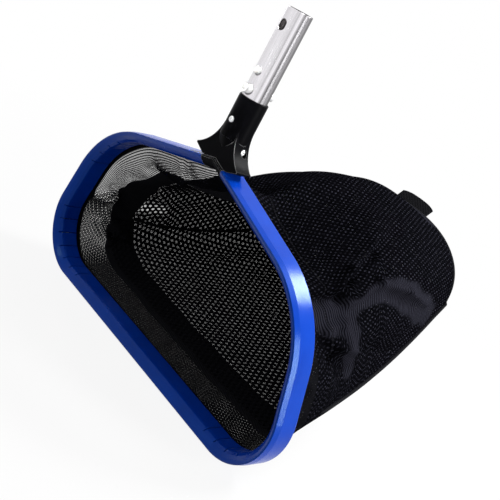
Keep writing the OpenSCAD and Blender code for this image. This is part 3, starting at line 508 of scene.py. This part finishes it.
def mesh_cloth(name, colour, pitch, thread, cell=None, hem=None, seam=None, doubled=False):
    """Open woven mesh: crossing threads at a pitch in metres, and clear gaps between them.

    Where it is lined, a second layer's threads fill the gaps. The hem is solid, and a row of
    stitches runs along the hem and along the seam. Over a net it swells into bumps that stand in
    brick order, so their height is one cosine across times one of half the rate along; the bumps
    are also painted lighter, in random patches, as a painted highlight. Where it is loose it lies
    smooth, with ribs painted lighter as a painted sheen, and where it is sheer more light comes through.
    """
    made, tree, shader = finish_for(name, Specular_IOR_Level=0.0, Roughness=0.5)
    flat = tree.nodes.new("ShaderNodeUVMap").outputs[0]
    split = tree.nodes.new("ShaderNodeSeparateXYZ")
    tree.links.new(flat, split.inputs[0])
    u, v = split.outputs[0], split.outputs[1]
    waves = [calc(tree, "PINGPONG", calc(tree, "DIVIDE", one, pitch), 0.5) for one in (u, v)]
    cover = [spread(tree, wave, thread / 2 + 0.06, thread / 2 - 0.06, 0, 1) for wave in waves]
    uneven = grain(tree, flat, 70, 3)

    def lighter(times):
        """The cloth's colour at so many times its brightness."""
        return tuple(times * part for part in colour)

    body = tint(tree, uneven, (0.3, colour), (0.7, lighter(1.8)))
    normal = relief(tree, calc(tree, "SUBTRACT", *cover), 0.00015)
    alpha = calc(tree, "MAXIMUM", *cover)
    if doubled:
        lined = tree.nodes.new("ShaderNodeAttribute")
        lined.attribute_name = "lined"
        turned = add(tree, "Mapping", {"Vector": flat, "Rotation": (0, 0, 0.62)})
        crossed = tree.nodes.new("ShaderNodeSeparateXYZ")
        tree.links.new(turned, crossed.inputs[0])
        waves = [calc(tree, "PINGPONG", calc(tree, "DIVIDE", one, pitch), 0.5) for one in crossed.outputs[:2]]
        second = calc(tree, "MAXIMUM", *(
            spread(tree, wave, thread / 2 + 0.11, thread / 2 - 0.01, 0, 1) for wave in waves))
        alpha = calc(tree, "MAXIMUM", alpha, calc(tree, "MULTIPLY", second, lined.outputs["Fac"]))
    if cell:
        wide, long = cell
        loose = tree.nodes.new("ShaderNodeAttribute")
        loose.attribute_name = "loose"
        ribs = add(tree, "TexWave", {"Vector": flat, "Scale": 86.0, "Distortion": 3.0, "Detail": 2.0,
                                     "Detail Scale": 0.5}, bands_direction="Y")
        # Loose cloth is painted lighter in ribs: painted sheen.
        slack_sheen = tint(tree, ribs, (0.2, lighter(3.5)), (0.8, lighter(16.0)))
        body = add(tree, "MixRGB", {0: loose.outputs["Fac"], 1: body, 2: slack_sheen})
        across = calc(tree, "COSINE", calc(tree, "MULTIPLY", u, 2 * np.pi / wide))
        down = calc(tree, "COSINE", calc(tree, "MULTIPLY", calc(tree, "SUBTRACT", v, long / 2), np.pi / long))
        swell_and_highlight = spread(tree, calc(tree, "MULTIPLY", across, down), -0.3, -0.75, 0, 1)
        swell_and_highlight = calc(tree, "MULTIPLY", swell_and_highlight, calc(tree, "SUBTRACT", 1.0, loose.outputs["Fac"]))
        patchy = spread(tree, grain(tree, flat, 130, 4, 0.7), 0.42, 0.6, 0.1, 1.15)
        swell_and_highlight = calc(tree, "MULTIPLY", swell_and_highlight, patchy)
        # The bumps are painted lighter: a painted highlight.
        body = add(tree, "MixRGB", {0: swell_and_highlight, 1: body, 2: (*lighter(24.0), 1)})
        normal = relief(tree, swell_and_highlight, 0.0012, Normal=normal)
        sheer = tree.nodes.new("ShaderNodeAttribute")
        sheer.attribute_name = "sheer"
        alpha = calc(tree, "MULTIPLY", alpha, spread(tree, sheer.outputs["Fac"], 0, 1, 1.0, 0.1))
    for line in (hem, seam):
        if line:
            off = calc(tree, "ABSOLUTE", calc(tree, "SUBTRACT", v, line))
            near = spread(tree, off, 0.0012, 0.0005, 0, 1)
            dash = calc(tree, "PINGPONG", calc(tree, "DIVIDE", u, stitch_long), 0.5)
            dash = spread(tree, dash, 0.1, 0.2, 0, 1)
            stitch = calc(tree, "MULTIPLY", near, dash)
            body = add(tree, "MixRGB", {0: stitch, 1: body, 2: (0.014, 0.014, 0.017, 1)})
            normal = relief(tree, stitch, 0.0006, Normal=normal)
            alpha = calc(tree, "MAXIMUM", alpha, near)
    if hem:
        alpha = calc(tree, "MAXIMUM", alpha, spread(tree, v, hem, hem - 0.0005, 0, 1))
    tree.links.new(body, shader.inputs["Base Color"])
    tree.links.new(alpha, shader.inputs["Alpha"])
    tree.links.new(normal, shader.inputs["Normal"])
    return made


def thicken(cloth, thickness):
    """Gives a cloth piece its thickness, half to each side."""
    made = cloth.modifiers.new("thickness", "SOLIDIFY")
    made.thickness = thickness
    made.offset = 0


fine_mesh = mesh_cloth("fine mesh", (0.006, 0.006, 0.0075), cuff_pitch, cuff_thread, hem=hem_end,
                       doubled=True)
around_steps = 480
ring = np.linspace(0, 4, around_steps, endpoint=False)[None, :]


def band(from_y, to_y, rows, inset):
    """Points of a closed band between two depths."""
    return in_place(*bag(ring, depth_at(np.linspace(from_y, to_y, rows))[:, None], inset))


def flat_round(rows, from_y, to_y):
    """Place on the cut band: distance round the mouth by distance behind the hoop."""
    round_length = 2 * along[-1]
    back = np.linspace(from_y, to_y, rows)[:, None]
    return np.stack(np.broadcast_arrays(ring / 4 * round_length, back), -1)


cuff_rows = 40
# Where the cuff is creased double, as lines like those of the folds with a share as height.
cuff_creases = (
    (1.455, 0.075, 1.37, 0.10, 0.007, 1.3), (1.95, 0.02, 1.90, 0.12, 0.008, 1.0),
    (1.23, 0.05, 1.2, 0.08, 0.005, 0.8))
cuff = piece("cuff_mesh", band(bag_start, cuff_end, cuff_rows, 0), grid_faces(cuff_rows, around_steps, True),
             fine_mesh, flat_round(cuff_rows, bag_start, cuff_end))
cuff_depth = depth_at(np.linspace(bag_start, cuff_end, cuff_rows))[:, None]
creased = bells(ring, cuff_depth, cuff_creases)
below = np.clip((1.12 - abs(ring - 3)) / 0.1, 0, 1)
lined_share = np.clip(below + creased, 0, 1)
cuff.data.attributes.new("lined", "FLOAT", "POINT").data.foreach_set("value", lined_share.ravel())
thicken(cuff, cuff_thick)
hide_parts("cuff")
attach(cuff, "net")

# ---------------------------------------------------------------- seam tape
# Black woven tape, 35 mm wide, sewn round the bag where the cuff meets the panels.
tape_cloth, tree, shader = finish_for("black tape", Specular_IOR_Level=0.03, Roughness=0.7)
flat = tree.nodes.new("ShaderNodeUVMap").outputs[0]
weave = add(tree, "TexWave", {"Vector": flat, "Scale": 200.0, "Distortion": 0.6, "Detail": 1.0},
            bands_direction="DIAGONAL")
woven_black = tint(tree, weave, (0.2, (0.006, 0.006, 0.0075)), (0.8, (0.017, 0.017, 0.02)))
tree.links.new(woven_black, shader.inputs["Base Color"])
tree.links.new(relief(tree, weave, 0.0002), shader.inputs["Normal"])
tape_rows = 16
tape_laps = 0.002
tape_inset = 0.0008
tape_thick = 0.0007
tape = piece("tape_band", band(cuff_end - tape_laps, tape_end, tape_rows, tape_inset),
             grid_faces(tape_rows, around_steps, True), tape_cloth, flat_round(tape_rows, cuff_end, tape_end))
thicken(tape, tape_thick)
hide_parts("seam_tape")
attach(tape, "net")

# ---------------------------------------------------------------- outer panels
# Two panels of a closer mesh than the cuff's, an upper one over the ridge and a lower one that
# forms the floor and turns up to close the rear.
panel_pitch = 0.001
panel_thread = 0.73
bump_wide = 0.0058
bump_long = 0.0047
panel_rows, panel_columns = 120, 241
# Where the cloth lies loose, and where it is sheer, as lines like those of the folds with a
# share as height.
loose_patches = (
    (0.47, 0.20, 0.43, 0.29, 0.018, 1.0), (0.41, 0.24, 0.395, 0.31, 0.014, 1.0),
    (0.39, 0.31, 0.30, 0.335, 0.011, 1.0), (0.30, 0.335, 0.20, 0.32, 0.011, 1.0),
    (0.20, 0.32, 0.10, 0.35, 0.009, 1.0), (0.41, 0.36, 0.42, 0.44, 0.009, 1.0),
    (0.42, 0.44, 0.41, 0.50, 0.011, 1.0), (0.41, 0.50, 0.365, 0.59, 0.013, 1.0),
    (0.365, 0.59, 0.30, 0.67, 0.018, 1.0), (0.29, 0.68, 0.18, 0.79, 0.021, 1.0),
    (0.17, 0.80, 0.07, 0.88, 0.016, 1.0), (1.66, 0.50, 1.78, 0.80, 0.030, 1.0),
    (-0.30, 0.30, -0.20, 0.50, 0.022, 1.0), (0.95, 0.96, 0.80, 0.98, 0.016, 1.0))
sheer_patches = ((1.955, 0.16, 1.92, 0.30, 0.016, 0.5),)


def panel(upper, from_y, rows, columns, inset):
    """Points of one panel, their places on the cut cloth from its middle line, around and depth."""
    across = np.linspace(0, 2, columns)[None, :] + (0 if upper else 2)
    start = depth_at(from_y)
    deep = start + (1 - start) * np.linspace(0, 1, rows)[:, None] ** (0.8 if upper else 0.6)
    points = in_place(*bag(across, deep, inset))
    steps = np.linalg.norm(np.diff(points, axis=1), axis=2)
    u = np.concatenate([np.zeros((rows, 1)), np.cumsum(steps, axis=1)], 1)
    middle = columns // 2
    u = u - u[:, middle:middle + 1]
    steps = np.linalg.norm(np.diff(points[:, middle], axis=0), axis=1)
    v = np.concatenate([[0], np.cumsum(steps)])[:, None] + 0 * u
    return points, np.stack([u, v], -1), across, deep


panel_mesh = mesh_cloth("fine mesh over net", (0.002, 0.002, 0.0028), panel_pitch, panel_thread,
                        (bump_wide, bump_long), seam=tape_end - cuff_end)
for name, upper, node in (("upper_panel", True, "top_panel"), ("lower_panel", False, "bottom_panel")):
    points, flat, across, deep = panel(upper, cuff_end, panel_rows, panel_columns, 0)
    made = piece(name, points, grid_faces(panel_rows, panel_columns), panel_mesh, flat)
    # Each patch has a short, soft border.
    for look, patches in (("loose", loose_patches), ("sheer", sheer_patches)):
        share = ((bells(across, deep, patches) - 0.35) / 0.3).clip(0, 1)
        made.data.attributes.new(look, "FLOAT", "POINT").data.foreach_set("value", share.ravel())
    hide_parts(node)
    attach(made, "net")

# ---------------------------------------------------------------- inner nets
# A coarse net of knitted black cord behind each panel, which carries the load of the leaves.
cell_wide = 0.008
cell_long = 0.006
cell_zigzag = 0.001
strand_share = 0.48
strand_thick = 0.0007
net_inset = 0.002
net_rows, net_columns = 160, 321

net_cord, tree, shader = finish_for("net cord", Specular_IOR_Level=0.03, Roughness=0.6)
twist = grain(tree, place_in(tree), 1800, 2)
knit_black = tint(tree, twist, (0.3, (0.002, 0.002, 0.003)), (0.7, (0.008, 0.008, 0.01)))
tree.links.new(knit_black, shader.inputs["Base Color"])
tree.links.new(relief(tree, twist, 0.0002), shader.inputs["Normal"])


def net(upper, skip, inset):
    """A net of six-sided cells laid on a panel.

    Corners stand half a cell apart in rows, pushed up and down by turns. Each cell is a ring
    of six quads between its corners and the same six drawn in towards its middle.
    """
    points, flat, *_ = panel(upper, cuff_end, net_rows, net_columns, inset)
    half = flat[:, -1, 0]
    low = flat[:, 0, 0]
    length = flat[-1, 0, 1]
    rows = int(length / cell_long)
    columns = 2 * int(half.max() / cell_wide) + 4
    r, k = np.meshgrid(np.arange(rows + 1), np.arange(2 * columns + 1), indexing="ij")
    v = (r * cell_long + cell_zigzag * (-1.0) ** (k + r)).clip(0, length)
    u = (k - columns) * cell_wide / 2
    row_v = flat[:, 0, 1]
    u = np.clip(u, np.interp(v, row_v, low), np.interp(v, row_v, half))

    def on_cloth(u, v):
        """Point of the panel at a place on its flat cut, between its four nearest grid points."""
        row = np.interp(v, row_v, np.arange(len(row_v)))
        top = np.floor(row).astype(int).clip(0, len(row_v) - 2)
        found = 0
        for line, weight in ((top, 1 - (row - top)), (top + 1, row - top)):
            share = np.zeros(u.shape)
            for one in np.unique(line):
                here = line == one
                share[here] = np.interp(u[here], flat[one, :, 0], np.arange(flat.shape[1]))
            left = np.floor(share).astype(int).clip(0, flat.shape[1] - 2)
            part = (share - left)[..., None]
            found = found + weight[..., None] * mix(points[line, left], points[line, left + 1], part)
        return found

    cell_r, cell_c = np.meshgrid(np.arange(rows), np.arange(columns), indexing="ij")
    first = 2 * cell_c + cell_r % 2
    keep = (first + 2 <= 2 * columns) & (cell_r * cell_long > skip)
    cell_r, first = cell_r[keep], first[keep]
    corner_r = cell_r[:, None] + np.array([0, 0, 0, 1, 1, 1])
    corner_k = first[:, None] + np.array([0, 1, 2, 2, 1, 0])
    corner_u, corner_v = u[corner_r, corner_k], v[corner_r, corner_k]
    real = np.ptp(corner_u, axis=1) > 0.05 * cell_wide
    corner_r, corner_k, corner_u, corner_v = (grid[real] for grid in (corner_r, corner_k, corner_u, corner_v))
    hole_u = mix(corner_u, corner_u.mean(1, keepdims=True), strand_share)
    hole_v = mix(corner_v, corner_v.mean(1, keepdims=True), strand_share)
    outer, inner = on_cloth(u, v).reshape(-1, 3), on_cloth(hole_u, hole_v).reshape(-1, 3)
    outer_at = corner_r * u.shape[1] + corner_k
    inner_at = len(outer) + np.arange(inner.shape[0]).reshape(-1, 6)
    faces = np.stack([outer_at, np.roll(outer_at, -1, 1), np.roll(inner_at, -1, 1), inner_at], -1)
    faces = faces.reshape(-1, 4)
    used, faces = np.unique(faces, return_inverse=True)
    return np.concatenate([outer, inner])[used], faces.reshape(-1, 4)


for name, upper, node, skip in (("upper_net", True, "inner_net_top", tape_end - cuff_end - 0.004),
                                ("lower_net", False, "inner_net_bottom", 0)):
    points, faces = net(upper, skip, net_inset)
    made = piece(name, points, faces, net_cord)
    thicken(made, strand_thick)
    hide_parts(node)
    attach(made, "net")

# ---------------------------------------------------------------- bound edge
# The panels' edges are folded into a narrow black binding, which runs back along one side,
# round the rear and forward along the other.
binding_wide = 0.0025
binding_flat = 0.0016
binding_sides = 12

side_depth = np.linspace(depth_at(tape_end), 1, 90)
rear_round = np.linspace(0, 2, 180)[1:-1]
line_x, line_y, line_z = (np.concatenate(parts) for parts in zip(
    bag(0.0, side_depth, -0.001), bag(rear_round, 1.0, 0.0015), bag(2.0, side_depth[::-1], -0.001)))
line_y = line_y + 0.002 * np.clip((line_y - bag_end + 0.02) / 0.02, 0, 1)
line = in_place(line_x, line_y, line_z)
ahead = np.gradient(line, axis=0)
ahead /= np.linalg.norm(ahead, axis=1, keepdims=True)
over = np.cross(ahead, np.array([0, -0.6, 0.8]))
over /= np.linalg.norm(over, axis=1, keepdims=True)
under = np.cross(over, ahead)
turn = np.linspace(0, 2 * np.pi, binding_sides, endpoint=False)
end = np.minimum(np.arange(len(line)), np.arange(len(line))[::-1])[:, None, None]
taper = (end / 6).clip(0, 1) ** 0.5
rings = (line[:, None] + taper * binding_wide * np.cos(turn)[None, :, None] * over[:, None]
         + taper * binding_flat * np.sin(turn)[None, :, None] * under[:, None])
binding = piece("binding_edge", rings, grid_faces(len(line), binding_sides, True), tape_cloth,
                np.stack(np.broadcast_arrays(np.arange(len(line))[:, None] * 0.004, turn * 0.002), -1))
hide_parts("edge_binding")
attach(binding, "net")

# ---------------------------------------------------------------- pull tab
# A folded strip of black webbing, sewn to the middle of the rear edge, to tip the bag out by.
tab_half = 0.029
tab_long = 0.0175
tab_thick = 0.0024
tab_angle = np.radians(45)
tab_rows, tab_columns = 17, 41
across, out = np.meshgrid(np.linspace(-1, 1, tab_columns), np.linspace(0, 1, tab_rows))
reach = tab_long * (1 - 0.22 * abs(across) ** 3.5)
tab_x = tab_half * across
lift = 0.0012 * np.cos(np.pi / 2 * across)
tab_y = bag_end + 0.005 + out * reach * np.cos(tab_angle) - lift * np.sin(tab_angle)
tab_z = rear_high - tab_thick + out * reach * np.sin(tab_angle) + lift * np.cos(tab_angle)
tab = piece("webbing_tab", in_place(tab_x, tab_y, tab_z), grid_faces(tab_rows, tab_columns), tape_cloth,
            np.stack([tab_x, out * reach], -1))
thicken(tab, tab_thick)
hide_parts("pull_tab")
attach(tab, "net")

# ---------------------------------------------------------------- floor, light and background
# A plain pale floor under the leading edge, soft boxes at the right rear, above, in front and
# at the left, a small one on the handle, and an even white room.
floor_z = cad_low[2] - 0.004


def soft_box(name, place, target, size, power, spread_deg=180):
    """A rectangular lamp that faces its target and spreads over an angle in degrees."""
    light = bpy.data.lights.new(name, "AREA")
    light.shape = "RECTANGLE"
    light.size, light.size_y = size
    light.energy = power
    light.spread = np.radians(spread_deg)
    made = bpy.data.objects.new(name, light)
    bpy.context.scene.collection.objects.link(made)
    back = np.array(place) - np.array(target)
    back = back / np.linalg.norm(back)
    right = np.cross((0, 0, 1), back)
    right = right / np.linalg.norm(right)
    made.matrix_world = Matrix.Translation(place) @ Matrix(
        np.array([right, np.cross(back, right), back]).T.tolist()).to_4x4()


soft_box("right rear box", (1.38, 0.62, -0.02), (0.2, 0.0, -0.25), (0.3, 1.0), 17)
soft_box("streak box", (0.3, 0.95, 0.82), (0.18, 0.0, -0.21), (0.5, 0.3), 22)
soft_box("front box", (-0.5, -1.5, 0.8), (0, 0.1, -0.2), (0.5, 1.0), 4)
soft_box("handle box", (0.08, -0.4, 0.4), (0.0, -0.02, -0.065), (0.05, 0.05), 0.026, 10)
soft_box("left box", (-1.4, 0.3, 0.4), (0, 0.1, -0.2), (0.25, 1.0), 3)
soft_box("top box", (0.2, 0.5, 1.5), (0, 0.1, -0.2), (0.9, 0.9), 4)


def seen_share(tree, unseen):
    """1 to the camera, in reflections and through the mesh, and a lower strength as light."""
    path = tree.nodes.new("ShaderNodeLightPath")
    seen = calc(tree, "MAXIMUM", path.outputs["Is Camera Ray"],
                calc(tree, "MAXIMUM", path.outputs["Is Glossy Ray"], path.outputs["Is Transmission Ray"]))
    return spread(tree, seen, 0, 1, unseen, 1.0)


floor_mesh = bpy.data.meshes.new("floor")
floor_half = 8
corners = ((-1, -1), (1, -1), (1, 1), (-1, 1))
floor_mesh.from_pydata([(floor_half * x, floor_half * y, floor_z) for x, y in corners], [], [(0, 1, 2, 3)])
floor = bpy.data.objects.new("floor", floor_mesh)
bpy.context.scene.collection.objects.link(floor)
pale, tree, shader = finish_for("pale floor", Roughness=0.9, Specular_IOR_Level=0.1)
plain = tint(tree, grain(tree, place_in(tree), 3, 3), (0.3, (0.86, 0.86, 0.86)), (0.7, (0.9, 0.9, 0.9)))
tree.links.new(plain, shader.inputs["Base Color"])
away = tree.nodes.new("ShaderNodeVectorMath")
away.operation = "LENGTH"
tree.links.new(place_in(tree), away.inputs[0])
glow = add(tree, "Emission", {"Color": (1, 1, 1, 1), "Strength": seen_share(tree, 0.2)})
far_share = spread(tree, away.outputs["Value"], 0.4, 1.2, 0.9, 1.0)
blend_floor = add(tree, "MixShader", {0: far_share, 1: shader.outputs[0], 2: glow})
tree.links.new(blend_floor, tree.nodes["Material Output"].inputs[0])
floor_mesh.materials.append(pale)

world = bpy.data.worlds.new("white room")
world.use_nodes = True
bpy.context.scene.world = world
tree = world.node_tree
tree.links.new(seen_share(tree, 0.14), tree.nodes["Background"].inputs["Strength"])
tree.nodes["Background"].inputs["Color"].default_value = (1, 1, 1, 1)

bpy.context.scene.view_settings.view_transform = "Standard"
